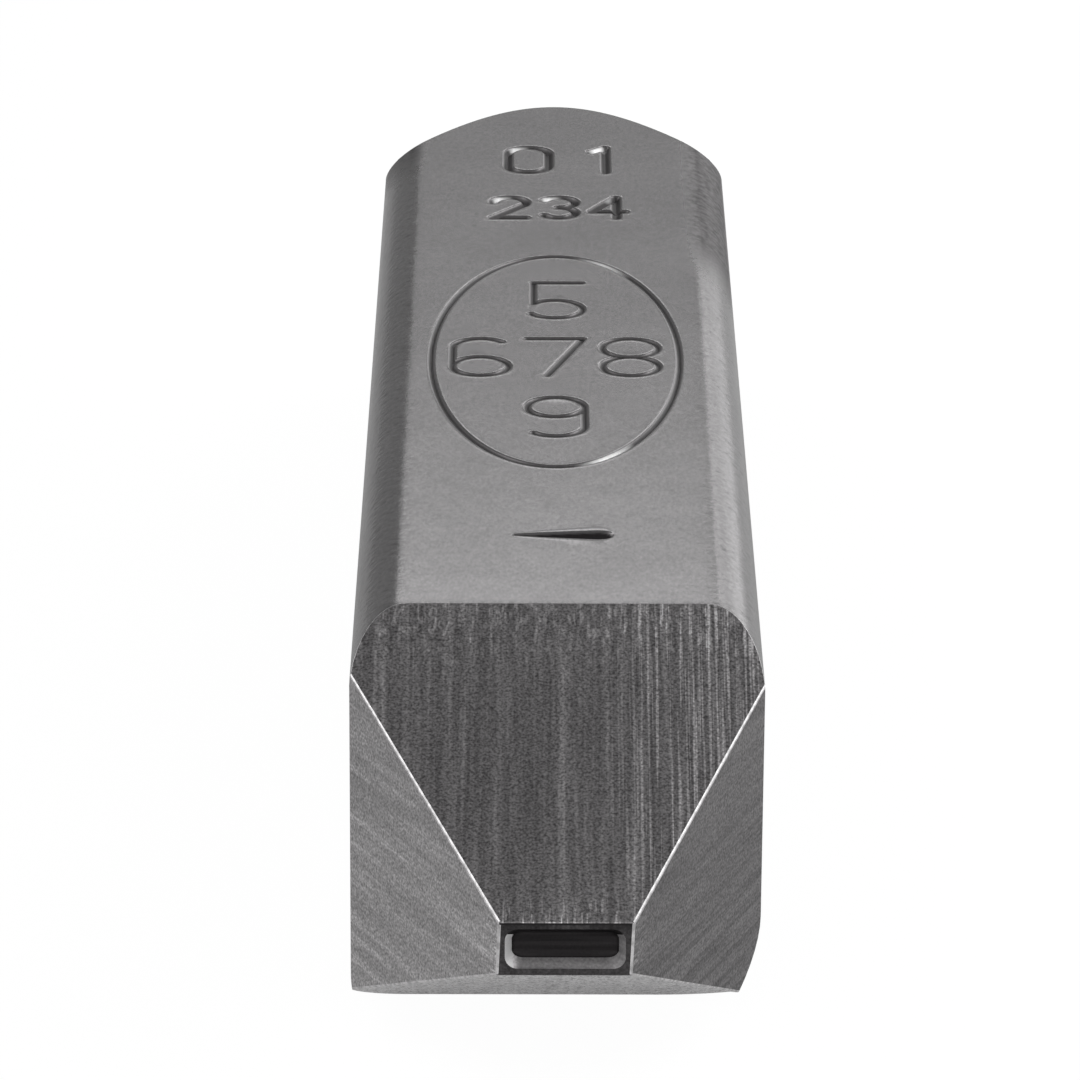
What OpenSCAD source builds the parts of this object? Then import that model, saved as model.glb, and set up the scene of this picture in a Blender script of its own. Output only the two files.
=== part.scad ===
// Steel hand stamp: one bar of tool steel with a ground four-sided point at one end
// and a turned, tapered head at the other. It lies on its lower face, point towards -Y.
// All sizes are in millimetres. "From the tip" means along the bar, from the point's end.

/* [Bar] */
// Width and height of the square bar
bar_w = 15.875; // [14:0.125:18]
// Length from the tip to the struck end
bar_l = 88.9; // [84:0.1:100]
// Radius of three of the bar's four long corners
corner_r = 2.1; // [1.2:0.1:2.8]
// Radius of the lower corner on the right, which is ground rounder
lower_right_r = 4; // [2.8:0.1:4.4]

/* [Ground point] */
// Width of the flat tip
tip_w = 5.0; // [4.8:0.1:6]
// Height of the flat tip
tip_h = 2.1; // [2:0.05:3]
// How far the tip sits to the right of the bar's centre line
tip_shift = 0.3; // [0:0.05:0.5]
// Angle between the top bevel and the bar's centre line
top_angle = 25.0; // [22:0.1:30]
// Angle between the bottom bevel and the bar's centre line
bottom_angle = 27.3; // [22:0.1:30]
// Angle between the left bevel and the bar's centre line
left_angle = 27.5; // [22:0.1:30]
// Angle between the right bevel and the bar's centre line
right_angle = 23.9; // [22:0.1:30]
// How far the two side bevels are turned about the bar's centre line
side_lean = 2.6; // [0:0.1:4]

/* [Tip pocket] */
// Width of the pocket's mouth
pocket_w = 4.5; // [4:0.05:4.6]
// Height of the pocket's mouth
pocket_h = 1.62; // [1.4:0.02:1.7]
// Depth of the pocket
pocket_depth = 0.55; // [0.3:0.01:0.8]
// Radius of the mouth's corners
pocket_corner_r = 0.48; // [0.2:0.02:0.6]
// Angle between the pocket's walls and the tip's flat face
pocket_wall_angle = 59; // [50:1:80]

/* [Head] */
// Diameter of the flat struck end
head_d = 9.7; // [8:0.1:12]
// Angle between the head's taper and the bar's centre line
head_angle = 20.3; // [16:0.1:30]
// Radius of the rounded edge round the struck end
head_edge_r = 0.8; // [0.3:0.1:1.2]

/* [Struck marks] */
// Width of the oval ring, across the bar
ring_w = 10.6; // [9:0.1:11]
// Length of the oval ring, along the bar
ring_l = 27.4; // [24:0.1:30]
// Distance of the ring's middle from the tip
ring_from_tip = 43.9; // [40:0.1:48]
// Width of the ring's groove
ring_groove_w = 0.3; // [0.2:0.05:0.6]
// Width of the strokes of the digits inside the ring
digit_stroke_w = 0.4; // [0.2:0.05:0.6]
// Width of the strokes of the digits near the head
far_stroke_w = 0.58; // [0.4:0.02:0.7]
// Depth of the ring and the digits
mark_depth = 0.2; // [0.1:0.05:0.4]
// Length of the single struck line near the point
dash_l = 3.9; // [3:0.1:5]
// Width of the struck line's deep end
dash_w = 1.2; // [0.8:0.1:1.5]
// Depth of the struck line's deep end
dash_depth = 0.4; // [0.2:0.05:0.6]
// Distance of the struck line from the tip
dash_from_tip = 22.3; // [20:0.1:24]

/* [Hidden] */

// Smooth rounds, and the many-sided oval
$fn = 64;
ring_sides = 96;
arc_step = 18;
head_edge_steps = 8;

// Anything larger than the bar, for blocks that cut it
beyond = 60;
// How far a cutter stands clear of the face that it cuts
clear = 1;

// The bar's centre line and its two ends
mid_z = bar_w / 2;
tip_y = -bar_l / 2;
end_y = bar_l / 2;

// The head's taper, from the bar's corners down to the struck end
head_r = head_d / 2;
corner_reach = (bar_w / 2 - corner_r) * sqrt(2) + corner_r + clear;
taper_l = (corner_reach - head_r) / tan(head_angle);

// The digits' half widths and the places of their middles: across the bar, then from the tip
ring_digit_a = 1.2;
ring_row_gap = 7.6;
ring_column_gap = 3.2;
far_row_a = 0.95;
far_row_from_tip = 72.1;
near_row_a = 0.75;
near_row_from_tip = 64.8;
near_row_x = 0.2;
near_column_gap = 2.25;
FAR_DIGITS = [
    [0, far_row_a, -1.2, far_row_from_tip],
    [1, far_row_a, 2.4, far_row_from_tip],
    [2, near_row_a, near_row_x - near_column_gap, near_row_from_tip],
    [3, near_row_a, near_row_x, near_row_from_tip],
    [4, near_row_a, near_row_x + near_column_gap, near_row_from_tip]
];
RING_DIGITS = [
    [5, ring_digit_a, 0, ring_from_tip + ring_row_gap],
    [6, ring_digit_a, -ring_column_gap, ring_from_tip],
    [7, ring_digit_a, 0, ring_from_tip],
    [8, ring_digit_a, ring_column_gap, ring_from_tip],
    [9, ring_digit_a, 0, ring_from_tip - ring_row_gap]
];

// The strokes of each digit, four half widths tall, about its middle. A stroke of four
// numbers is a line from one point to another. One of five is an arc: middle, radius,
// and the angles where it starts and ends.
function strokes(digit, a) =
    digit == 0 ? [[0, a, a, 0, 180], [0, -a, a, 180, 360], [-a, -a, -a, a], [a, -a, a, a]] :
    digit == 1 ? [[0, -2 * a, 0, 2 * a], [0, 2 * a, -0.7 * a, 1.3 * a]] :
    digit == 2 ? [[0, a, a, -35, 180], [0.82 * a, 0.43 * a, -a, -2 * a], [-a, -2 * a, a, -2 * a]] :
    digit == 3 ? [[0, a, a, -90, 150], [0, -a, a, -150, 90]] :
    digit == 4 ? [[0.5 * a, -2 * a, 0.5 * a, 2 * a], [-a, -0.8 * a, a, -0.8 * a],
                  [-a, -0.8 * a, 0.5 * a, 2 * a]] :
    digit == 5 ? [[-0.8 * a, 2 * a, a, 2 * a], [-0.8 * a, 2 * a, -0.8 * a, -0.4 * a],
                  [0, -a, a, -150, 143]] :
    digit == 6 ? [[0, -a, a, 0, 180], [0, -a, a, 180, 360], [-a, -a, -a, a], [0, a, a, 40, 180]] :
    digit == 7 ? [[-a, 2 * a, a, 2 * a], [a, 2 * a, -0.3 * a, -2 * a]] :
    digit == 8 ? [[0, a, a, 0, 180], [0, a, a, 180, 360], [0, -a, a, 0, 180], [0, -a, a, 180, 360]] :
    [[0, a, a, 0, 180], [0, a, a, 180, 360], [a, -a, a, a], [0, -a, a, 220, 360]];

// Square bar with rounded corners, from the tip to the struck end
module square_bar() {
    flat = bar_w - 2 * corner_r;
    half = bar_w / 2;
    translate([0, end_y, mid_z])
        rotate([90, 0, 0])
            linear_extrude(bar_l)
                union() {
                    difference() {
                        union() {
                            square([flat, bar_w], center = true);
                            square([bar_w, flat], center = true);
                            for (x = [-flat / 2, flat / 2], y = [-flat / 2, flat / 2])
                                translate([x, y])
                                    circle(r = corner_r);
                        }
                        translate([half - lower_right_r, -half - clear])
                            square([lower_right_r + clear, lower_right_r + clear]);
                    }
                    translate([half - lower_right_r, -half + lower_right_r])
                        circle(r = lower_right_r);
                }
}

// Everything outside one bevel: turn says which side of the bar, reach how far the
// bevel is from the centre line at the tip
module outside_bevel(turn, reach, angle) {
    translate([0, tip_y, mid_z])
        rotate([0, turn, 0])
            translate([0, 0, reach])
                rotate([angle, 0, 0])
                    translate([-beyond / 2, -beyond / 2, 0])
                        cube(beyond);
}

// Round body that the tapered head is turned to
module turned_head() {
    edge_x = head_r - head_edge_r * (1 - sin(head_angle)) / cos(head_angle);
    translate([0, tip_y, mid_z])
        rotate([-90, 0, 0])
            rotate_extrude()
                polygon(concat(
                    [[0, -clear], [corner_reach, -clear], [corner_reach, bar_l - taper_l]],
                    [for (i = [0 : head_edge_steps])
                        let (turn = head_angle + (90 - head_angle) * i / head_edge_steps)
                            [edge_x + head_edge_r * cos(turn),
                             bar_l - head_edge_r + head_edge_r * sin(turn)]],
                    [[0, bar_l]]
                ));
}

// Pocket in the tip: sloping walls, a flat floor, and a mouth with rounded corners
module pocket() {
    draft = 1 / tan(pocket_wall_angle);
    outside = clear * draft;
    inside = pocket_depth * draft;
    flat_w = pocket_w - 2 * pocket_corner_r;
    flat_h = pocket_h - 2 * pocket_corner_r;
    translate([tip_shift, tip_y, mid_z])
        intersection() {
            translate([0, 0, -clear])
                linear_extrude(2 * clear)
                    polygon([
                        [-pocket_w / 2 - outside, -clear], [pocket_w / 2 + outside, -clear],
                        [pocket_w / 2 - inside, pocket_depth], [-pocket_w / 2 + inside, pocket_depth]
                    ]);
            translate([-pocket_w, 0, 0])
                rotate([90, 0, 90])
                    linear_extrude(2 * pocket_w)
                        polygon([
                            [-clear, -pocket_h / 2 - outside], [-clear, pocket_h / 2 + outside],
                            [pocket_depth, pocket_h / 2 - inside], [pocket_depth, -pocket_h / 2 + inside]
                        ]);
            translate([0, clear, 0])
                rotate([90, 0, 0])
                    linear_extrude(2 * clear)
                        union() {
                            square([flat_w, pocket_h], center = true);
                            square([pocket_w, flat_h], center = true);
                            for (x = [-flat_w / 2, flat_w / 2], y = [-flat_h / 2, flat_h / 2])
                                translate([x, y])
                                    circle(r = pocket_corner_r);
                        }
        }
}

// Places a mark on the top face: the floor of a cutter of this depth is at its z = 0
module on_top(x, from_tip, depth) {
    translate([x, tip_y + from_tip, bar_w - depth])
        children();
}

// Oval ring groove, its two edges drawn as ovals from a formula
module ring_groove() {
    on_top(0, ring_from_tip, mark_depth)
        linear_extrude(mark_depth + clear)
            difference() {
                polygon(oval(ring_w / 2 + ring_groove_w / 2, ring_l / 2 + ring_groove_w / 2));
                polygon(oval(ring_w / 2 - ring_groove_w / 2, ring_l / 2 - ring_groove_w / 2));
            }
}

function oval(across, along) =
    [for (i = [0 : ring_sides - 1]) [across * cos(360 * i / ring_sides), along * sin(360 * i / ring_sides)]];

// One straight stroke, square-ended past its two points by half its width
module line_stroke(from, to, width) {
    run = to - from;
    translate(from)
        rotate(atan2(run[1], run[0]))
            translate([-width / 2, -width / 2])
                square([norm(run) + width, width]);
}

// One curved stroke: an inner and an outer edge, each in short steps
module arc_stroke(middle, r, start, end, width) {
    steps = ceil((end - start) / arc_step);
    turns = [for (i = [0 : steps]) start + (end - start) * i / steps];
    inner = r - width / 2;
    outer = r + width / 2;
    translate(middle)
        polygon(concat(
            [for (t = turns) [outer * cos(t), outer * sin(t)]],
            [for (i = [steps : -1 : 0]) [inner * cos(turns[i]), inner * sin(turns[i])]]
        ));
}

// Some of the ten digits, with strokes of one width
module digits(list, width) {
    for (d = list)
        on_top(d[2], d[3], mark_depth)
            linear_extrude(mark_depth + clear)
                union()
                    for (s = strokes(d[0], d[1]))
                        if (len(s) == 4)
                            line_stroke([s[0], s[1]], [s[2], s[3]], width);
                        else
                            arc_stroke([s[0], s[1]], s[2], s[3], s[4], width);
}

// Single struck line, shallow and narrow at its left end, deep, broad and round at its right
module dash() {
    fall = atan(dash_depth / dash_l);
    thin_w = dash_w / 4;
    broad_x = dash_l - dash_w / 2;
    translate([tip_shift - dash_l / 2, tip_y + dash_from_tip, bar_w])
        rotate([0, fall, 0])
            linear_extrude(dash_depth + clear)
                union() {
                    polygon([
                        [0, -thin_w / 2], [broad_x, -dash_w / 2],
                        [broad_x, dash_w / 2], [0, thin_w / 2]
                    ]);
                    translate([broad_x, 0])
                        circle(r = dash_w / 2);
                }
}

module stamp_body() {
    tip_right = tip_w / 2 + tip_shift;
    tip_left = tip_w / 2 - tip_shift;
    color([0.55, 0.55, 0.56])
        difference() {
            intersection() {
                square_bar();
                turned_head();
            }
            outside_bevel(0, tip_h / 2, top_angle);
            outside_bevel(180, tip_h / 2, bottom_angle);
            outside_bevel(90 + side_lean, tip_right, right_angle);
            outside_bevel(-90 + side_lean, tip_left, left_angle);
            pocket();
            ring_groove();
            digits(FAR_DIGITS, far_stroke_w);
            digits(RING_DIGITS, digit_stroke_w);
            dash();
        }
}

stamp_body();
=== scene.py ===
from math import ceil, cos, pi, radians, sin, sqrt, tan

import bmesh
import bpy
import numpy as np
from mathutils import Matrix, Vector


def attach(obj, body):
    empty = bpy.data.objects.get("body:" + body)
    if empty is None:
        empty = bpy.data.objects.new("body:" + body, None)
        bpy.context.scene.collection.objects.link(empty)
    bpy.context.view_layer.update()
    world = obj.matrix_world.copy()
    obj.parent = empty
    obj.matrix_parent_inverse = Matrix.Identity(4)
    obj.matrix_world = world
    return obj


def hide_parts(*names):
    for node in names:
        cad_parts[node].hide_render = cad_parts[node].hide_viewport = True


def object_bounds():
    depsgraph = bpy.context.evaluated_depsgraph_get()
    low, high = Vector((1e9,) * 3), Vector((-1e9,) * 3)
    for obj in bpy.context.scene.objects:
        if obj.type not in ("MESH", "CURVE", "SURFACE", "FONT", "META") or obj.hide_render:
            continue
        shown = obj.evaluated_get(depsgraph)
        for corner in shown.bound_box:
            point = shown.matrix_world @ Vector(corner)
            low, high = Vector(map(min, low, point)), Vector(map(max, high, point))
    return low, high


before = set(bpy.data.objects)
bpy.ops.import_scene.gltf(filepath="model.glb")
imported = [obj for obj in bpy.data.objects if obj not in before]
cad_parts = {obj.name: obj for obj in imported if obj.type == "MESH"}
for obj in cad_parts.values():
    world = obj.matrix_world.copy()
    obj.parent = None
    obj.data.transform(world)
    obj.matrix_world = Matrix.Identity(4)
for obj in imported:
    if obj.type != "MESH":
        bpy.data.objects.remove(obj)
cad_low, cad_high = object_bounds()
MM = 0.001


# Camera
# A long lens stands a forearm's length in front of the point and a little above it,
# and looks down along the bar, so that the point and the marked face both show.
lens_mm = 219
film_mm = 36
camera_in_front = 221.3 * MM
camera_height = 107.4 * MM
camera_left = 0.87 * MM
look_down = radians(20.638)
look_right = radians(0.051)
camera_roll = radians(0.145)

tip_y = cad_low.y
bpy.ops.object.camera_add()
camera = bpy.context.object
camera.data.lens = lens_mm
camera.data.sensor_width = film_mm
camera.matrix_world = (
    Matrix.Translation((-camera_left, tip_y - camera_in_front, camera_height))
    @ Matrix.Rotation(-look_right, 4, "Z")
    @ Matrix.Rotation(pi / 2 - look_down, 4, "X")
    @ Matrix.Rotation(camera_roll, 4, "Z")
)
bpy.context.scene.camera = camera


# Studio
# A white bench top under nine soft lamps: two behind, which the marked face mirrors, three
# behind on the right for the right corner, one on each side for the bright ridges, and two
# in front for the ground flats. A dim room fills the shadows.
middle = (cad_low + cad_high) / 2
floor_size = 1.2
floor_colour = "c0c0c0"
# Painted shade: the bench is darker on its left.
floor_colour_shaded_left = "a4a4a4"
floor_white = 1.13
floor_share_to_camera = 0.85
# In a MapRange node, inputs 1 and 2 are the two ends of the range, and 3 and 4 are what it
# gives there.
floor_edges = {1: -30 * MM, 2: -8 * MM}
# Painted pool of light: the steel sees more of the bench's white towards the right.
floor_gloss_share_with_light_pool = {3: 0.1, 4: 0.19}
room_strength = 0.17
room_share_in_gloss = 0.1
lamp_distance = 0.6


def linear(code):
    """The linear colour of an sRGB hex value."""
    parts = [int(code[i:i + 2], 16) / 255 for i in (0, 2, 4)]
    return [p / 12.92 if p <= 0.04045 else ((p + 0.055) / 1.055) ** 2.4 for p in parts] + [1]


def add(tree, kind, inputs, **settings):
    """Adds a shader node with its settings. Each input is a value, or a node or output to link.
    Inputs go by name or by number."""
    made = tree.nodes.new("ShaderNode" + kind)
    for name, value in settings.items():
        setattr(made, name, value)
    for socket, value in inputs.items():
        if isinstance(value, bpy.types.Node):
            value = value.outputs[0]
        if isinstance(value, bpy.types.NodeSocket):
            tree.links.new(value, made.inputs[socket])
        else:
            made.inputs[socket].default_value = value
    return made


def new_material(name):
    """A material with an empty node tree."""
    made = bpy.data.materials.new(name)
    made.use_nodes = True
    made.node_tree.nodes.clear()
    return made, made.node_tree


def share_of_white(tree, to_camera, in_gloss):
    """How much of the white background a ray meets: what the camera sees, and what metal mirrors."""
    path = add(tree, "LightPath", {}).outputs
    seen = add(tree, "Math", {0: path["Is Camera Ray"], 1: to_camera}, operation="MULTIPLY")
    bent = {0: path["Is Glossy Ray"], 1: path["Is Transmission Ray"]}
    bent = add(tree, "Math", bent, operation="MAXIMUM")
    mirrored = add(tree, "Math", {0: bent, 1: in_gloss}, operation="MULTIPLY")
    return add(tree, "Math", {0: seen, 1: mirrored}, operation="MAXIMUM")


# White bench top: it takes a shadow, and the camera sees it almost pure white. The steel
# mirrors it grey. Its colour is painted darker on the left as painted shade, and the share of
# white it shows the steel rises to the right as a painted pool of light.
bpy.ops.mesh.primitive_plane_add(size=floor_size)
floor = bpy.context.object
floor.name = "bench_top"
material, tree = new_material("white_bench_top")
place = add(tree, "TexCoord", {}).outputs["Object"]
across = add(tree, "SeparateXYZ", {0: place})
on_right = add(tree, "MapRange", {0: across, **floor_edges})
shades = {0: on_right, 6: linear(floor_colour_shaded_left), 7: linear(floor_colour)}
shade = add(tree, "Mix", shades, data_type="RGBA")
paint = add(tree, "BsdfDiffuse", {"Color": shade.outputs[2]})
white = add(tree, "Emission", {"Color": (1, 1, 1, 1), "Strength": floor_white})
in_gloss = add(tree, "MapRange", {0: across, **floor_edges, **floor_gloss_share_with_light_pool})
share = share_of_white(tree, floor_share_to_camera, in_gloss)
add(tree, "OutputMaterial", {"Surface": add(tree, "MixShader", {0: share, 1: paint, 2: white})})
floor.data.materials.append(material)

world = bpy.data.worlds.new("dim_room")
bpy.context.scene.world = world
world.use_nodes = True
tree = world.node_tree
tree.nodes.clear()
room = add(tree, "Background", {"Color": (1, 1, 1, 1), "Strength": room_strength})
backdrop = add(tree, "Background", {"Color": (1, 1, 1, 1), "Strength": 1})
share = share_of_white(tree, 1, room_share_in_gloss)
add(tree, "OutputWorld", {"Surface": add(tree, "MixShader", {0: share, 1: room, 2: backdrop})})


def softbox(name, turn, rise, across, high, brightness):
    """A square-edged lamp that faces the stamp. Its direction from there is given in degrees
    clockwise from straight behind and up from the bench, and so are its width and height.
    A brightness of 1 is as bright as white paper."""
    flat = cos(radians(rise))
    towards = Vector((flat * sin(radians(turn)), flat * cos(radians(turn)), sin(radians(rise))))
    bpy.ops.object.light_add(type="AREA", location=middle + towards * lamp_distance)
    lamp = bpy.context.object
    lamp.name = name
    lamp.visible_camera = False
    lamp.rotation_euler = (-towards).to_track_quat("-Z", "Y").to_euler()
    lamp.data.shape = "RECTANGLE"
    lamp.data.size = 2 * lamp_distance * tan(radians(across / 2))
    lamp.data.size_y = 2 * lamp_distance * tan(radians(high / 2))
    lamp.data.energy = brightness * pi * lamp.data.size * lamp.data.size_y


softbox("lamp_behind_low", 4, 14, 22, 16, 0.14)
softbox("lamp_behind_high", 4, 27, 26, 7, 1.62)
softbox("lamp_right_soft", 16, 13, 10, 24, 0.6)
softbox("lamp_right_behind", 31, 13, 20, 24, 1.05)
softbox("lamp_right_high", 35, 42, 16, 16, 1.5)
softbox("lamp_left", -80, 32, 50, 54, 1.5)
softbox("lamp_right", 80, 32, 50, 54, 1.5)
softbox("lamp_front", 180, 58, 60, 40, 0.6)
softbox("lamp_front_low", 180, 18, 110, 24, 0.55)

bpy.context.scene.view_settings.view_transform = "Standard"


# Bar
# One length of square tool steel, hot rolled, so its four long corners are rounded.
# Everything else is ground, turned, milled or struck into it.
corner_r = 2.1 * MM
lower_right_r = 4.0 * MM
corner_segments = 14
bar_w = cad_high.x - cad_low.x
bar_l = cad_high.y - cad_low.y
mid_z = middle.z
end_y = cad_high.y
top_z = cad_high.z
# Two places nearer than this are taken as one.
hair = 0.01 * MM


def start_piece(name):
    """Selects the newest primitive alone, names it, and puts its place and size in its mesh."""
    bpy.ops.object.select_all(action="DESELECT")
    piece = bpy.context.object
    piece.select_set(True)
    piece.name = name
    bpy.ops.object.transform_apply(location=True, rotation=True, scale=True)
    return piece


def pick(piece, kind, test):
    """Selects, in edit mode, the vertices, edges or faces of a piece for which a test holds."""
    bpy.ops.mesh.select_all(action="DESELECT")
    bpy.ops.mesh.select_mode(type={"verts": "VERT", "edges": "EDGE", "faces": "FACE"}[kind])
    mesh = bmesh.from_edit_mesh(piece.data)
    for item in getattr(mesh, kind):
        if test(item):
            item.select_set(True)
    mesh.select_flush_mode()
    bmesh.update_edit_mesh(piece.data)


def is_long_corner(edge):
    """Whether an edge is still one of the bar's four square corners."""
    mid = (edge.verts[0].co + edge.verts[1].co) / 2 - middle
    return edge.calc_length() > bar_l / 2 and min(abs(mid.x), abs(mid.z)) > bar_w / 2 - hair


def is_lower_right(edge):
    """Whether a long edge is the one that touches the bench on the right."""
    return edge.verts[0].co.x > 0 and edge.verts[0].co.z < mid_z


bpy.ops.mesh.primitive_cube_add(size=1, location=middle, scale=(bar_w, bar_l, bar_w))
stamp = start_piece("steel_stamp")
bpy.ops.object.mode_set(mode="EDIT")
for wanted, radius in ((False, corner_r), (True, lower_right_r)):
    pick(stamp, "edges", lambda e: is_long_corner(e) and is_lower_right(e) == wanted)
    bpy.ops.mesh.bevel(offset=radius, segments=corner_segments, affect="EDGES")


# Ground point
# Four flats ground by hand on a wheel, each at its own angle, leave a small flat tip
# that sits a little to the right of the bar's centre line.
tip_w = 5.0 * MM
tip_h = 2.1 * MM
tip_shift = 0.3 * MM
side_lean = 2.6
# For each flat: how far it is turned round the bar from straight up, how far from the bar's
# centre line it meets the tip, and its angle to the bar's length. Angles are in degrees.
BEVELS = {
    "top": (0, tip_h / 2, 25.0),
    "right": (90 + side_lean, tip_w / 2 + tip_shift, 23.9),
    "bottom": (180, tip_h / 2, 27.3),
    "left": (-90 + side_lean, tip_w / 2 - tip_shift, 27.5),
}


def bevel_plane(turn, reach, angle):
    """A point on a ground flat, and its outward normal."""
    side = Vector((sin(radians(turn)), 0, cos(radians(turn))))
    point = Vector((0, tip_y, mid_z)) + side * reach
    return point, side * cos(radians(angle)) + Vector((0, -sin(radians(angle)), 0))


for turn, reach, angle in BEVELS.values():
    point, normal = bevel_plane(turn, reach, angle)
    bpy.ops.mesh.select_all(action="SELECT")
    bpy.ops.mesh.bisect(plane_co=point, plane_no=normal, use_fill=True, clear_outer=True)
bpy.ops.object.mode_set(mode="OBJECT")


# Head
# The struck end is turned to a long taper in a lathe, so that it doesn't spread under
# the hammer. The taper runs out on the bar's flats in four arches.
head_r = 9.7 / 2 * MM
head_angle = radians(20.3)
head_edge_r = 0.8 * MM
head_edge_segments = 6
turned_sides = 160
turned_clearance = 1 * MM
past_tip = 10 * MM
turned_r = sqrt(2) * (bar_w / 2 - corner_r) + corner_r + turned_clearance
taper_l = (turned_r - head_r) / tan(head_angle)
straight_l = bar_l - taper_l + past_tip
# Two faces lie the same way when the cosine between their normals is above this.
same_way = 0.999

# The turned shape clears the bar's corners, and it starts well in front of the tip. The
# stamp is what lies inside it.
bpy.ops.mesh.primitive_cylinder_add(
    vertices=turned_sides, radius=turned_r, depth=straight_l,
    location=(0, end_y - taper_l - straight_l / 2, mid_z), rotation=(pi / 2, 0, 0),
)
turned = start_piece("turned_shape")
bpy.ops.object.mode_set(mode="EDIT")
pick(turned, "faces", lambda f: f.normal.y > same_way)
bpy.ops.mesh.extrude_region_move(TRANSFORM_OT_translate={"value": (0, taper_l, 0)})
shrink = head_r / turned_r
bpy.ops.transform.resize(value=(shrink, 1, shrink), center_override=(0, end_y, mid_z))
pick(turned, "edges", lambda e: all(v.co.y > end_y - hair for v in e.verts))
head_edge_offset = head_edge_r * tan((pi / 2 - head_angle) / 2)
bpy.ops.mesh.bevel(offset=head_edge_offset, segments=head_edge_segments, affect="EDGES")
bpy.ops.object.mode_set(mode="OBJECT")


# Tip pocket
# A shallow pocket is milled into the tip, with sloping walls and a flat floor. A narrow rim
# is left round it.
pocket_w = 4.5 * MM
pocket_h = 1.62 * MM
pocket_depth = 0.55 * MM
pocket_corner_r = 0.48 * MM
pocket_corner_segments = 8
pocket_wall_slope = 0.33 * MM
pocket_floor_r = 0.12 * MM
pocket_floor_segments = 3
pocket_overrun = 0.02 * MM


def apply_modifiers(piece):
    """Applies every modifier of a piece, in order."""
    bpy.context.view_layer.objects.active = piece
    for modifier in list(piece.modifiers):
        bpy.ops.object.modifier_apply(modifier=modifier.name)


bpy.ops.mesh.primitive_cube_add(
    size=1, location=(tip_shift, tip_y + (pocket_depth - pocket_overrun) / 2, mid_z),
    scale=(pocket_w, pocket_depth + pocket_overrun, pocket_h),
)
sunk = start_piece("pocket_shape")
bpy.ops.object.mode_set(mode="EDIT")
pick(sunk, "edges", lambda e: abs(e.verts[0].co.y - e.verts[1].co.y) > pocket_depth / 2)
bpy.ops.mesh.bevel(offset=pocket_corner_r, segments=pocket_corner_segments, affect="EDGES")
pick(sunk, "faces", lambda f: f.normal.y > same_way)
bpy.ops.transform.resize(
    value=(1 - 2 * pocket_wall_slope / pocket_w, 1, 1 - 2 * pocket_wall_slope / pocket_h),
    center_override=(tip_shift, tip_y, mid_z),
)
floor_y = tip_y + pocket_depth
pick(sunk, "edges", lambda e: all(v.co.y > floor_y - hair for v in e.verts))
bpy.ops.mesh.bevel(offset=pocket_floor_r, segments=pocket_floor_segments, affect="EDGES")
bpy.ops.object.mode_set(mode="OBJECT")

for shape, operation in ((turned, "INTERSECT"), (sunk, "DIFFERENCE")):
    cut = stamp.modifiers.new(shape.name, "BOOLEAN")
    cut.object = shape
    cut.operation = operation
    cut.solver = "EXACT"
apply_modifiers(stamp)
for shape in (turned, sunk):
    bpy.data.objects.remove(shape)


# Worn edges
# Tumbling and use have rounded every edge a little. The four ridges between the ground
# flats, and the edges of the tip, have worn most.
ridge_w = 0.084 * MM
edge_w = 0.045 * MM
worn_segments = 2
sharp_angle = radians(14)
# The stamp has a slot for each finish. Until the finishes are given out, two of the slots
# mark the faces of the worn edges.
finish_slots = 10
SHANK, RIDGE = 0, 1
WORN_MOST, WORN_LEAST = 1, 2


def flat_of(face):
    """Which of the four ground flats a face belongs to, or None."""
    for name, bevel in BEVELS.items():
        if face.normal.dot(bevel_plane(*bevel)[1]) > same_way:
            return name


def is_worn_most(edge):
    """Whether an edge is a ridge between two ground flats, or an edge of the tip."""
    flats = [flat_of(face) for face in edge.link_faces]
    return all(flats) or any(flats) and all(v.co.y < tip_y + hair for v in edge.verts)


def is_worn_least(edge):
    """Whether an edge is any other sharp edge."""
    if len(edge.link_faces) != 2 or edge.calc_face_angle() < sharp_angle:
        return False
    return all(face.material_index != WORN_MOST for face in edge.link_faces)


for slot in range(finish_slots):
    stamp.data.materials.append(None)
bpy.context.view_layer.objects.active = stamp
bpy.ops.object.mode_set(mode="EDIT")
pick(stamp, "edges", is_worn_most)
bpy.ops.mesh.bevel(offset=ridge_w, segments=worn_segments, affect="EDGES", material=WORN_MOST)
pick(stamp, "edges", is_worn_least)
bpy.ops.mesh.bevel(
    offset=edge_w, segments=worn_segments, affect="EDGES", material=WORN_LEAST, clamp_overlap=True,
)
bpy.ops.object.mode_set(mode="OBJECT")


# Struck marks
# An oval ring, ten plain digits and one tapered line are struck into the upper face
# with hard dies. Each is a groove with soft shoulders and a slight raised lip.
ring_w = 10.6 * MM
ring_l = 27.4 * MM
ring_y = tip_y + 43.9 * MM
ring_stroke = 0.36 * MM
digit_stroke = 0.40 * MM
far_stroke = 0.58 * MM
ring_depth = 0.11 * MM
digit_depth = 0.11 * MM
far_depth = 0.20 * MM
lip_height = 0.006 * MM
lip_width = 0.8
# The line is thin and shallow at its left end, by these shares of its full width and depth.
# It swells by a power of the way along it, and closes round over the last share of that,
# but never quite to nothing.
dash_l = 3.9 * MM
dash_w = 1.2 * MM
dash_depth = 0.36 * MM
dash_y = tip_y + 22.3 * MM
dash_thin = 0.14
dash_shallow = 0.2
dash_swell = 0.8
dash_round = 0.18
dash_least = 0.002
dash_end = 0.1 * MM
# The upper flat is cut into a grid, and the squares near a mark are cut finer.
marks_x = 5.9 * MM
marks_start = tip_y + 20.5 * MM
marks_end = tip_y + 75.5 * MM
grid_step = 0.54 * MM
fine_cuts = 8
mark_margin = 0.3 * MM
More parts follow.
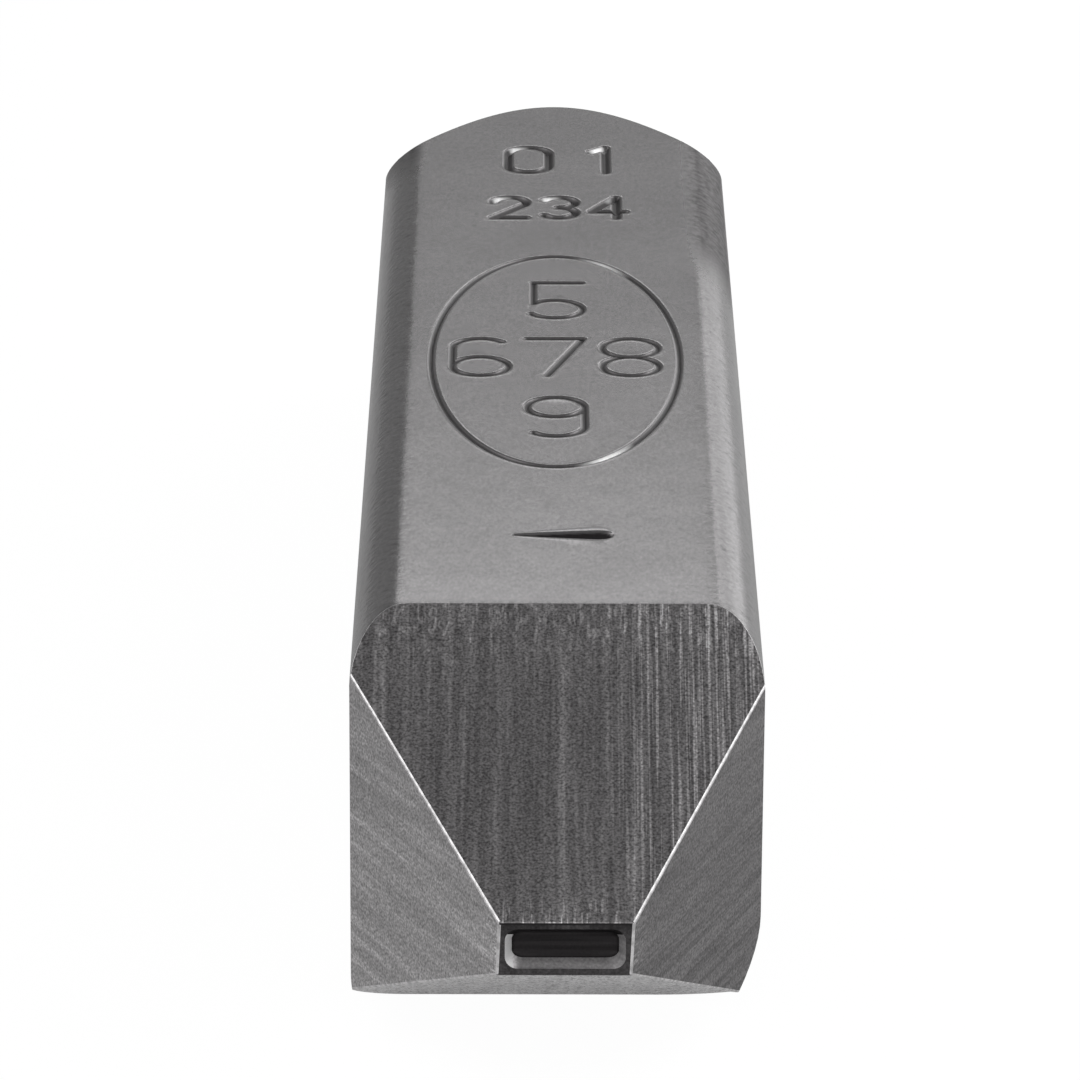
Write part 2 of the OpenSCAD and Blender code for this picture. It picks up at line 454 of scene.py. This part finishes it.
# Each digit's value, half width and place across and along the bar from the tip, in
# millimetres, and the width and depth of its strokes.
DIGITS = [
    (0, 0.95, -1.2, 72.1, far_stroke, far_depth),
    (1, 0.95, 2.4, 72.1, far_stroke, far_depth),
    (2, 0.75, -2.05, 64.8, far_stroke, far_depth),
    (3, 0.75, 0.2, 64.8, far_stroke, far_depth),
    (4, 0.75, 2.45, 64.8, far_stroke, far_depth),
    (5, 1.2, 0, 51.5, digit_stroke, digit_depth),
    (6, 1.2, -3.2, 43.9, digit_stroke, digit_depth),
    (7, 1.2, 0, 43.9, digit_stroke, digit_depth),
    (8, 1.2, 3.2, 43.9, digit_stroke, digit_depth),
    (9, 1.2, 0, 36.3, digit_stroke, digit_depth),
]
# Each digit in half widths about its middle: a line has two points, and an arc has its
# middle, its radius and the angles where it starts and ends.
STROKES = {
    0: [(0, 1, 1, 0, 180), (0, -1, 1, 180, 360), (-1, -1, -1, 1), (1, -1, 1, 1)],
    1: [(0, -2, 0, 2), (0, 2, -0.7, 1.3)],
    2: [(0, 1, 1, -35, 180), (0.82, 0.43, -1, -2), (-1, -2, 1, -2)],
    3: [(0, 1, 1, -90, 150), (0, -1, 1, -150, 90)],
    4: [(0.5, -2, 0.5, 2), (-1, -0.8, 1, -0.8), (-1, -0.8, 0.5, 2)],
    5: [(-0.8, 2, 1, 2), (-0.8, 2, -0.8, -0.4), (0, -1, 1, -150, 143)],
    6: [(0, -1, 1, 0, 360), (-1, -1, -1, 1), (0, 1, 1, 40, 180)],
    7: [(-1, 2, 1, 2), (1, 2, -0.3, -2)],
    8: [(0, 1, 1, 0, 360), (0, -1, 1, 0, 360)],
    9: [(0, 1, 1, 0, 360), (1, -1, 1, 1), (0, -1, 1, 220, 360)],
}


def from_line(p, start, end):
    """How far each point lies from a straight stroke."""
    run = np.array(end) - start
    share = np.clip((p - start) @ run / (run @ run), 0, 1)
    return np.linalg.norm(p - start - share[:, None] * run, axis=1)


def from_arc(p, centre, r, start, end):
    """How far each point lies from a curved stroke."""
    q = p - centre
    turn = np.degrees(np.arctan2(q[:, 1], q[:, 0]))
    inside = (turn - start) % 360 <= end - start
    ends = [np.array(centre) + r * np.array((cos(radians(t)), sin(radians(t)))) for t in (start, end)]
    to_ends = np.min([np.linalg.norm(p - e, axis=1) for e in ends], axis=0)
    return np.where(inside, np.abs(np.linalg.norm(q, axis=1) - r), to_ends)


def from_oval(p, across, along):
    """About how far each point lies from an oval round the origin."""
    size = np.linalg.norm(p / (across, along), axis=1)
    slope = np.linalg.norm(p / (across ** 2, along ** 2), axis=1) / np.maximum(size, 1e-9)
    return np.abs(size - 1) / np.maximum(slope, 1e-9)


def stroke_shares(p):
    """For each stroke, how far each point is from it in half widths, and its width and depth."""
    away = from_oval(p - (0, ring_y), ring_w / 2, ring_l / 2)
    yield away / (ring_stroke / 2), ring_stroke, ring_depth
    for digit, half, x, from_tip, width, depth in DIGITS:
        a = half * MM
        q = p - (x * MM, tip_y + from_tip * MM)
        for s in STROKES[digit]:
            if len(s) == 4:
                away = from_line(q, np.array(s[:2]) * a, np.array(s[2:]) * a)
            else:
                away = from_arc(q, np.array(s[:2]) * a, s[2] * a, s[3], s[4])
            yield away / (width / 2), width, depth


def dash_share(p):
    """How far each point is from the single line in half widths, and the line's depth there.
    It is narrow and shallow at its left end, and broad and deep at its right."""
    q = p - (tip_shift - dash_l / 2, dash_y)
    u = np.clip(q[:, 0] / dash_l, 0, 1)
    swell = dash_thin + (1 - dash_thin) * u ** dash_swell
    close = np.clip(u - (1 - dash_round), 0, 1) / dash_round
    close = np.sqrt(np.clip(1 - close ** 2, dash_least, 1))
    half = dash_w / 2 * swell * close
    beside = np.abs(q[:, 1]) / half
    beyond = np.maximum(np.abs(q[:, 0] - dash_l / 2) - dash_l / 2, 0) / dash_end
    return np.hypot(beside, beyond), dash_depth * (dash_shallow + (1 - dash_shallow) * u)


def nearest_stroke(p):
    """How far each point is from the edge of any mark. Inside a stroke it is negative."""
    gap = np.min([(share - 1) * width / 2 for share, width, depth in stroke_shares(p)], axis=0)
    q = np.abs(p - (tip_shift, dash_y)) - (dash_l / 2, dash_w / 2)
    return np.minimum(gap, np.linalg.norm(np.maximum(q, 0), axis=1))


def is_marked_face(face):
    """Whether a face lies on the flat of the upper side."""
    return face.normal.z > same_way and face.calc_center_median().z > top_z - hair


def cut_top(point, normal):
    """Cuts the upper flat along a plane, without cutting the sides."""
    pick(stamp, "faces", is_marked_face)
    bpy.ops.mesh.bisect(plane_co=point, plane_no=normal)


bpy.context.view_layer.objects.active = stamp
bpy.ops.object.mode_set(mode="EDIT")
for step in range(ceil((marks_end - marks_start) / grid_step) + 1):
    cut_top((0, marks_start + step * grid_step, top_z), (0, 1, 0))
columns = ceil(marks_x / grid_step)
for step in range(-columns, columns + 1):
    if abs(step * grid_step) < bar_w / 2 - corner_r:
        cut_top((step * grid_step, 0, top_z), (1, 0, 0))

mesh = bmesh.from_edit_mesh(stamp.data)
mesh.faces.ensure_lookup_table()
# What is larger than two squares lies outside the grid.
squares = [f for f in mesh.faces if is_marked_face(f) and f.calc_area() < 2 * grid_step ** 2]
near = nearest_stroke(np.array([f.calc_center_median().xy[:] for f in squares])) < mark_margin
marked = {f.index for f, is_near in zip(squares, near) if is_near}
pick(stamp, "faces", lambda f: f.index in marked)
bpy.ops.mesh.subdivide(number_cuts=fine_cuts)
bpy.ops.object.mode_set(mode="OBJECT")

places = np.zeros(len(stamp.data.vertices) * 3)
stamp.data.vertices.foreach_get("co", places)
places = places.reshape(-1, 3)
on_top = np.abs(places[:, 2] - top_z) < 0.1 * hair
on_top &= (places[:, 1] > marks_start) & (places[:, 1] < marks_end)
flat = places[on_top, :2]
sink = np.zeros(len(flat))
lip = np.zeros(len(flat))
grooves = [(share, depth) for share, width, depth in stroke_shares(flat)]
for share, depth in [*grooves, dash_share(flat)]:
    sink = np.maximum(sink, depth * (1 + np.cos(pi * np.clip(share, 0, 1))) / 2)
    lip = np.maximum(lip, lip_height * np.sin(pi * np.clip((share - 1) / lip_width, 0, 1)) ** 2)
places[on_top, 2] += np.where(sink > 0, -sink, lip)
stamp.data.vertices.foreach_set("co", places.ravel())

# The marks are painted dark in their grooves as painted shade, and a few spots in them are
# painted bright as painted highlights: the head ends of the deep digits, and the ring's two ends
# on the right. Each bright spot is full in its middle and fades out a little past its radius or half
# size.
mark_shade_share = 0.85
dark_from = 0.7 * ring_depth
spot_fade = 1.4
digit_spot_r = 0.4 * MM
digit_spot_left = 0.45
digit_spot_up = 1.85
ring_spot_x = 2.0 * MM
ring_spot_y = 12.2 * MM
ring_spot_size = (1.2 * MM, 1.5 * MM)

in_dash = dash_share(flat)[0] < 1
dark = np.clip(sink / dark_from, 0, 1) * np.where(in_dash, 1, mark_shade_share)
away = np.abs(flat - (ring_spot_x, ring_y)) - (0, ring_spot_y)
painted_highlight = np.clip(spot_fade - np.linalg.norm(away / ring_spot_size, axis=1), 0, 1)
for digit, half, x, from_tip, width, depth in DIGITS:
    if width == far_stroke:
        spot = ((x - digit_spot_left * half) * MM, tip_y + (from_tip + digit_spot_up * half) * MM)
        away = np.linalg.norm(flat - spot, axis=1)
        painted_highlight = np.maximum(painted_highlight, np.clip(spot_fade - away / digit_spot_r, 0, 1))
for name, values in (("struck", dark), ("painted_highlight", painted_highlight * dark)):
    layer = stamp.data.attributes.new(name, "FLOAT", "POINT")
    whole = np.zeros(len(places), np.float32)
    whole[on_top] = values
    layer.data.foreach_set("value", whole)
stamp.data.update()


# Tumbled shank
# The flats and corners were tumbled with stones after hardening, which leaves an even satin
# grey with soft dents that mirror the lamps unevenly. The corners keep some pits, and are
# patchily darker and duller towards the head. The tumbled grain is finer than grain_size,
# and is drawn as coarse as it needs to show.
shank_colour = linear("969495")
# Painted shade for the marks' grooves, and the white of their painted highlights.
groove_shade_colour = linear("2e2c2d")
painted_highlight_colour = linear("ffffff")
# Towards the head, the corners turn patchily to this darker colour.
corner_dark_colour = linear("6a6869")
shank_roughness = 0.2
corner_dull_roughness = 0.5
grain_stretch = 2.5
cloud_size = 6 * MM
dent_size = 1.1 * MM
pit_size = 0.34 * MM
grain_size = 0.12 * MM
dent_height = 0.011 * MM
pit_share = 1.6
grain_share = 0.18
# Most of a noise lies in this range, and the others say how far it lightens and darkens.
most_noise = {1: 0.3, 2: 0.7}
cloud_tones = {3: 0.94, 4: 1.06}
grain_tones = {3: 0.9, 4: 1.1}
mottle_tones = {1: 0.38, 2: 0.62, 3: 0.72, 4: 1.3}
pit_starts = {1: 0.38, 2: 0.26}
pit_tones = {3: 1, 4: 0.6}
pits_off_corners = {3: 0.3, 4: 1}
corner_starts = {1: bar_w / 2 - corner_r - 0.1 * MM, 2: bar_w / 2 - 0.6 * corner_r}
corner_mottle = 0.25
darker_to_head_starts = {1: 20.5 * MM, 2: 26.5 * MM}
darker_to_head_slant = 1.1
darker_to_head_edge = 7 * MM
point_l = (bar_w - tip_h) / 2 / tan(radians(BEVELS["top"][2]))
burr_starts = {1: tip_y + point_l + 0.45 * MM, 2: tip_y + point_l}
burr_height = {1: top_z - 0.4 * MM, 2: top_z - 0.1 * MM}
burr_gaps = {1: 0.42, 2: 0.58}
burr_tones = {3: 1, 4: 0.55}

material, tree = new_material("tumbled_tool_steel")
place = add(tree, "TexCoord", {}).outputs["Object"]
axes = add(tree, "SeparateXYZ", {0: place}).outputs
struck = add(tree, "Attribute", {}, attribute_name="struck").outputs["Fac"]
painted_highlight = add(tree, "Attribute", {}, attribute_name="painted_highlight").outputs["Fac"]
drawn = add(tree, "Mapping", {"Vector": place, "Scale": (1, 1 / grain_stretch, 1)})
cloud = add(tree, "TexNoise", {"Vector": place, "Scale": 1 / cloud_size, "Detail": 4})
dent = add(tree, "TexNoise", {"Vector": drawn, "Scale": 1 / dent_size, "Detail": 2})
pit = add(tree, "TexNoise", {"Vector": place, "Scale": 1 / pit_size, "Detail": 3})
grain = add(tree, "TexNoise", {"Vector": drawn, "Scale": 1 / grain_size, "Detail": 2})

# Where the corners are, and where they turn darker and duller: patchily, towards the head.
above = add(tree, "Math", {0: axes[2], 1: mid_z}, operation="SUBTRACT")
on_corner = 1
for away in (axes[0], above):
    away = add(tree, "Math", {0: away}, operation="ABSOLUTE")
    away = add(tree, "MapRange", {0: away, **corner_starts})
    on_corner = add(tree, "Math", {0: on_corner, 1: away}, operation="MULTIPLY")
slanted = add(tree, "Math", {0: axes[0], 1: darker_to_head_slant, 2: axes[1]}, operation="MULTIPLY_ADD")
patchy_edge = add(tree, "Math", {0: pit, 1: darker_to_head_edge, 2: slanted}, operation="MULTIPLY_ADD")
to_head = add(tree, "MapRange", {0: patchy_edge, **darker_to_head_starts})
scale = add(tree, "Math", {0: on_corner, 1: to_head}, operation="MULTIPLY")

# Colour: satin grey, darker on the corners towards the head, painted shade in the marks, and painted
# highlights at a few spots in them.
colour = add(tree, "Mix", {0: scale, 6: shank_colour, 7: corner_dark_colour}, data_type="RGBA")
colour = add(tree, "Mix", {0: struck, 6: colour.outputs[2], 7: groove_shade_colour}, data_type="RGBA")
colour = add(tree, "Mix", {0: painted_highlight, 6: colour.outputs[2], 7: painted_highlight_colour}, data_type="RGBA")
cloudy = add(tree, "MapRange", {0: cloud, **most_noise, **cloud_tones})
grainy = add(tree, "MapRange", {0: grain, **most_noise, **grain_tones})
pitted = add(tree, "MapRange", {0: pit, **pit_starts})
few = add(tree, "MapRange", {0: on_corner, **pits_off_corners})
pitted = add(tree, "Math", {0: pitted, 1: few}, operation="MULTIPLY")
pitted = add(tree, "MapRange", {0: pitted, **pit_tones})
mottled = add(tree, "MapRange", {0: pit, **mottle_tones})
patches = add(tree, "Math", {0: on_corner, 1: corner_mottle, 2: scale}, operation="MULTIPLY_ADD")
mottled = add(tree, "Mix", {0: patches, 2: 1, 3: mottled})

# Where the point's upper flat begins, the wheel has left a ragged dark line.
burr = add(tree, "MapRange", {0: axes[1], **burr_starts})
ragged = add(tree, "MapRange", {0: grain, **burr_gaps})
burr = add(tree, "Math", {0: burr, 1: ragged}, operation="MULTIPLY")
on_top_side = add(tree, "MapRange", {0: axes[2], **burr_height})
burr = add(tree, "Math", {0: burr, 1: on_top_side}, operation="MULTIPLY")
burr = add(tree, "MapRange", {0: burr, **burr_tones})
patchy = 1
for part in (cloudy, grainy, pitted, mottled, burr):
    patchy = add(tree, "Math", {0: patchy, 1: part}, operation="MULTIPLY")
tone = add(tree, "VectorMath", {0: colour.outputs[2], 3: patchy}, operation="SCALE")

# Relief: soft dents all over, pits on the corners, and a fine grain.
pits = add(tree, "Math", {0: pit, 1: on_corner}, operation="MULTIPLY")
relief = add(tree, "Math", {0: grain, 1: grain_share, 2: dent}, operation="MULTIPLY_ADD")
relief = add(tree, "Math", {0: pits, 1: pit_share, 2: relief}, operation="MULTIPLY_ADD")
relief = add(tree, "Bump", {"Strength": 1.0, "Distance": dent_height, "Height": relief})
dull = add(tree, "Math", {0: scale, 1: struck}, operation="MAXIMUM")
dull = add(tree, "MapRange", {0: dull, 3: shank_roughness, 4: corner_dull_roughness})
steel = {"Base Color": tone, "Metallic": 1, "Normal": relief, "Roughness": dull}
add(tree, "OutputMaterial", {"Surface": add(tree, "BsdfPrincipled", steel)})
stamp.data.materials[SHANK] = material


# Bright ridges
# Where two ground flats meet, the edge has been rubbed and burnished by use. Its near-white
# colour is partly that burnish and partly a painted highlight, which makes it the brightest line on
# the stamp; the painted glint is uneven, because the grinding lines run into it.
ridge_burnish_and_highlight_colour = linear("fbf9fa")
ridge_roughness = 0.35
glint_size = 0.25 * MM
glint_tones = {1: 0.35, 2: 0.6, 3: 0.65, 4: 1}

material, tree = new_material("burnished_steel_and_painted_highlight")
place = add(tree, "TexCoord", {}).outputs["Object"]
glint = add(tree, "TexNoise", {"Vector": place, "Scale": 1 / glint_size, "Detail": 2})
glint = add(tree, "MapRange", {0: glint, **glint_tones})
tone = add(tree, "VectorMath", {0: ridge_burnish_and_highlight_colour[:3], 3: glint}, operation="SCALE")
steel = {"Base Color": tone, "Metallic": 1, "Roughness": ridge_roughness}
add(tree, "OutputMaterial", {"Surface": add(tree, "BsdfPrincipled", steel)})
stamp.data.materials[RIDGE] = material


# Ground flats, tip and head
# A coarse wheel left lines along the flats of the point, level with the bench on the sides,
# and a grainy face on top, painted darker. The tip and its pocket were milled, and the head turned.
# The flats, tip and pocket are painted lighter or darker for the light that falls on them, and
# their bright flecks are painted glints and highlights.
# The wheel's lines and grain are finer than the sizes here, and are drawn as coarse as they
# need to show.
wheel_grain = 0.1 * MM
streak_gap = 0.5 * MM
streak_run = 16 * MM
line_gap = 0.16 * MM
line_run = 5 * MM
line_height = 0.003 * MM


def drawn_lines(tree, place, across, gap, run, detail):
    """Noise drawn out into lines. Across is the axis that they are spaced along."""
    spacing = [1 / run] * 3
    spacing[across] = 1 / gap
    drawn = add(tree, "Mapping", {"Vector": place, "Scale": spacing})
    return add(tree, "TexNoise", {"Vector": drawn, "Scale": 1, "Detail": detail})


def ground_steel(name, code, across, roughness, grainy, streaky, liney, flecks=()):
    """Ground tool steel. The three amounts are how far its grain, broad streaks and fine
    lines lighten and darken it. Each group of flecks has the gap and length of its lines,
    the noise at which they start and are full, where they set in, and how far they lighten
    or darken the steel."""
    material, tree = new_material(name)
    place = add(tree, "TexCoord", {}).outputs["Object"]
    axes = add(tree, "SeparateXYZ", {0: place}).outputs
    grain = add(tree, "TexNoise", {"Vector": place, "Scale": 1 / wheel_grain, "Detail": 2})
    streaks = drawn_lines(tree, place, across, streak_gap, streak_run, 3)
    lines = drawn_lines(tree, place, across, line_gap, line_run, 2)
    tone = 1
    for pattern, amount in ((grain, grainy), (streaks, streaky), (lines, liney)):
        part = add(tree, "MapRange", {0: pattern, **most_noise, 3: 1 - amount, 4: 1 + amount})
        tone = add(tree, "Math", {0: tone, 1: part}, operation="MULTIPLY")
    for gap, run, start, full, (axis, none_at, all_at), factor in flecks:
        part = drawn_lines(tree, place, across, gap, run, 2)
        part = add(tree, "MapRange", {0: part, 1: start, 2: full})
        where = add(tree, "MapRange", {0: axes[axis], 1: none_at, 2: all_at})
        part = add(tree, "Math", {0: part, 1: where}, operation="MULTIPLY")
        part = add(tree, "MapRange", {0: part, 3: 1, 4: factor})
        tone = add(tree, "Math", {0: tone, 1: part}, operation="MULTIPLY")
    colour = add(tree, "VectorMath", {0: linear(code)[:3], 3: tone}, operation="SCALE")
    height = add(tree, "Math", {0: grain, 1: lines}, operation="ADD")
    relief = add(tree, "Bump", {"Strength": 1.0, "Distance": line_height, "Height": height})
    steel = {"Base Color": colour, "Metallic": 1, "Roughness": roughness, "Normal": relief}
    add(tree, "OutputMaterial", {"Surface": add(tree, "BsdfPrincipled", steel)})
    return material


TOP_FLAT, LEFT_FLAT, RIGHT_FLAT, LOWER_FLAT = 2, 3, 4, 5
TIP_RIM, POCKET_WALL, POCKET_DARK, HEAD = 6, 7, 8, 9
X, Y, Z = range(3)
pocket_left = tip_shift - pocket_w / 2
# Where flecks set in: along which axis, where there are none, and where there are all.
by_tip = (Y, tip_y + 1.5 * MM, tip_y + 0.3 * MM)
by_shank = (Y, tip_y + 10.5 * MM, tip_y + 14 * MM)
everywhere = (Y, tip_y - 2 * MM, tip_y - 1 * MM)
top_right = (X, 1.5 * MM, 4 * MM)
by_left_wall = (X, pocket_left + 0.5 * MM, pocket_left + 0.2 * MM)
low_down = (Z, mid_z + 3 * MM, mid_z)
over_pocket = (Z, mid_z + 0.5 * MM, mid_z + 0.9 * MM)
# The groups of flecks, as ground_steel takes them.
# Painted glints: bright scratches on the upper flat.
scratch_glints = [
    (0.1 * MM, 9 * MM, 0.53, 0.62, top_right, 2.25),
    (0.12 * MM, 1.2 * MM, 0.56, 0.62, by_tip, 2.2),
    (0.16 * MM, 0.7 * MM, 0.52, 0.62, by_shank, 1.7),
    (0.3 * MM, 14 * MM, 0.55, 0.65, everywhere, 1.25),
]
# A painted highlight on the pocket's left wall.
pocket_end_highlight = (0.3 * MM, 0.3 * MM, 0, 0.1, by_left_wall, 2.75)
# Painted glints: bright nicks near the tip, and light lines.
nick_glints = (0.1 * MM, 0.8 * MM, 0.56, 0.62, by_tip, 1.6)
glinting_lines = (0.3 * MM, 6 * MM, 0.54, 0.64, everywhere, 1.22)
dark_lines = (0.3 * MM, 7 * MM, 0.5, 0.6, low_down, 0.74)
dots = (0.25 * MM, 0.3 * MM, 0.54, 0.62, everywhere, 0.5)
# A ragged painted shadow line on the rim above the pocket.
pocket_top_shadow = (0.5 * MM, 0.9 * MM, 0.36, 0.44, over_pocket, 0.6)
ZONES = {
    # Coarse wheel: grain and lines scatter the light, and that is painted in as a darker colour, with
    # painted glints for the bright scratches.
    TOP_FLAT: ground_steel(
        "coarse_ground_tool_steel", "898788", X, roughness=0.4,
        grainy=0.55, streaky=0.22, liney=0.2, flecks=scratch_glints,
    ),
    # Finer wheel, with level lines: an even face, painted pale as painted light, with painted glints
    # for its nicks and light lines.
    LEFT_FLAT: ground_steel(
        "ground_tool_steel_left", "bdbbbc", Z, roughness=0.4,
        grainy=0.45, streaky=0.1, liney=0.1, flecks=[nick_glints, glinting_lines],
    ),
    # The same wheel on the right: a face painted darker as painted shade, with dark lines low down.
    RIGHT_FLAT: ground_steel(
        "ground_tool_steel_right", "8a8889", Z, roughness=0.4,
        grainy=0.5, streaky=0.1, liney=0.15, flecks=[nick_glints, dark_lines],
    ),
    # Ground like the sides: painted pale as painted light from the bench, with small dark dots.
    LOWER_FLAT: ground_steel(
        "ground_tool_steel_below", "f2f0f1", X, roughness=0.45,
        grainy=0.8, streaky=0.1, liney=0.1, flecks=[dots],
    ),
    # Milled and left dull, and painted dark as painted shade: a dark frame round the pocket, with a
    # ragged painted shadow line on the rim above it.
    TIP_RIM: ground_steel(
        "dull_milled_steel_painted_shade", "565455", X, roughness=0.45,
        grainy=0.3, streaky=0.1, liney=0.1, flecks=[pocket_top_shadow],
    ),
    # Milled, and painted light: a grey band inside the rim, with a painted highlight at its left end.
    POCKET_WALL: ground_steel(
        "milled_tool_steel_painted_light", "b1afb0", Z, roughness=0.65,
        grainy=0.2, streaky=0.1, liney=0.15, flecks=[pocket_end_highlight],
    ),
    # Dark floor, whose colour also paints shade on the pocket's upper walls and a shadow line on the
    # tip's top edge: nearly black, with faint level lines.
    POCKET_DARK: ground_steel(
        "dark_floor_and_painted_shade_steel", "393738", Z, roughness=0.5,
        grainy=0.1, streaky=0.1, liney=0.3,
    ),
    # Turned in a lathe: smooth and bright, with fine lines round it.
    HEAD: ground_steel(
        "turned_tool_steel", "a19fa0", Y, roughness=0.25,
        grainy=0.1, streaky=0.05, liney=0.15,
    ),
}
for zone, material in ZONES.items():
    stamp.data.materials[zone] = material

FLAT_ZONES = {"top": TOP_FLAT, "right": RIGHT_FLAT, "bottom": LOWER_FLAT, "left": LEFT_FLAT}
rim_depth = 0.1 * MM
pocket_slack = 0.02 * MM
pocket_shade_z = mid_z + 0.3 * pocket_h
faces_front = -0.65
faces_up = 0.5
faces_back = 0.1
flat_warp = 0.05 * MM
corner_x = bar_w / 2 - corner_r


def is_in_pocket(place):
    """Whether a place lies in the tip's pocket or on its mouth."""
    beside = abs(place.x - tip_shift) - pocket_w / 2
    above = abs(place.z - mid_z) - pocket_h / 2
    deep = place.y - tip_y - pocket_depth
    return deep < rim_depth and beside < pocket_slack and above < pocket_slack


def worn_tip_zone(face):
    """The finish of the worn edge above or below the tip: it goes with the face next to it, except
    where the upper edge doesn't face up, which gets the pocket's dark colour as a painted shadow
    line.
    """
    if face.center.z < mid_z:
        return TIP_RIM
    return TOP_FLAT if face.normal.z > faces_up else POCKET_DARK


def zone_of(face):
    """Which finish a face of the stamp has, from where it lies."""
    centre = face.center
    if centre.y < tip_y + hair / 2:
        return TIP_RIM
    if is_in_pocket(centre):
        # The pocket's upper walls take the dark colour too, as painted shade.
        is_dark = centre.z > pocket_shade_z or face.normal.y < faces_front
        return POCKET_DARK if is_dark else POCKET_WALL
    if face.material_index == WORN_MOST:
        is_level = abs(face.normal.z) > abs(face.normal.x)
        return worn_tip_zone(face) if is_level and centre.y < tip_y + rim_depth else RIDGE
    if face.material_index == WORN_LEAST:
        is_corner = abs(centre.x) > corner_x and centre.z > mid_z and centre.y < middle.y
        return RIDGE if is_corner else SHANK
    for name, bevel in BEVELS.items():
        point, normal = bevel_plane(*bevel)
        if face.normal.dot(normal) > same_way and abs((centre - point).dot(normal)) < flat_warp:
            return FLAT_ZONES[name]
    return HEAD if face.normal.y > faces_back and centre.y > middle.y else SHANK


for face in stamp.data.polygons:
    face.material_index = zone_of(face)


def is_ridge_side(edge):
    """Whether an edge is where a bright ridge meets a ground flat."""
    zones = {face.material_index for face in edge.link_faces}
    return RIDGE in zones and bool(zones & set(FLAT_ZONES.values()))


# The ridges keep crisp sides, so that the whole width of each one shines.
smooth_angle = radians(32)
bpy.ops.object.select_all(action="DESELECT")
stamp.select_set(True)
bpy.context.view_layer.objects.active = stamp
bpy.ops.object.shade_smooth_by_angle(angle=smooth_angle)
bpy.ops.object.mode_set(mode="EDIT")
pick(stamp, "edges", is_ridge_side)
bpy.ops.mesh.mark_sharp()
bpy.ops.object.mode_set(mode="OBJECT")
weighted = stamp.modifiers.new("flat_stays_flat", "WEIGHTED_NORMAL")
weighted.keep_sharp = True
apply_modifiers(stamp)

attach(stamp, "root")
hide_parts("stamp_body")
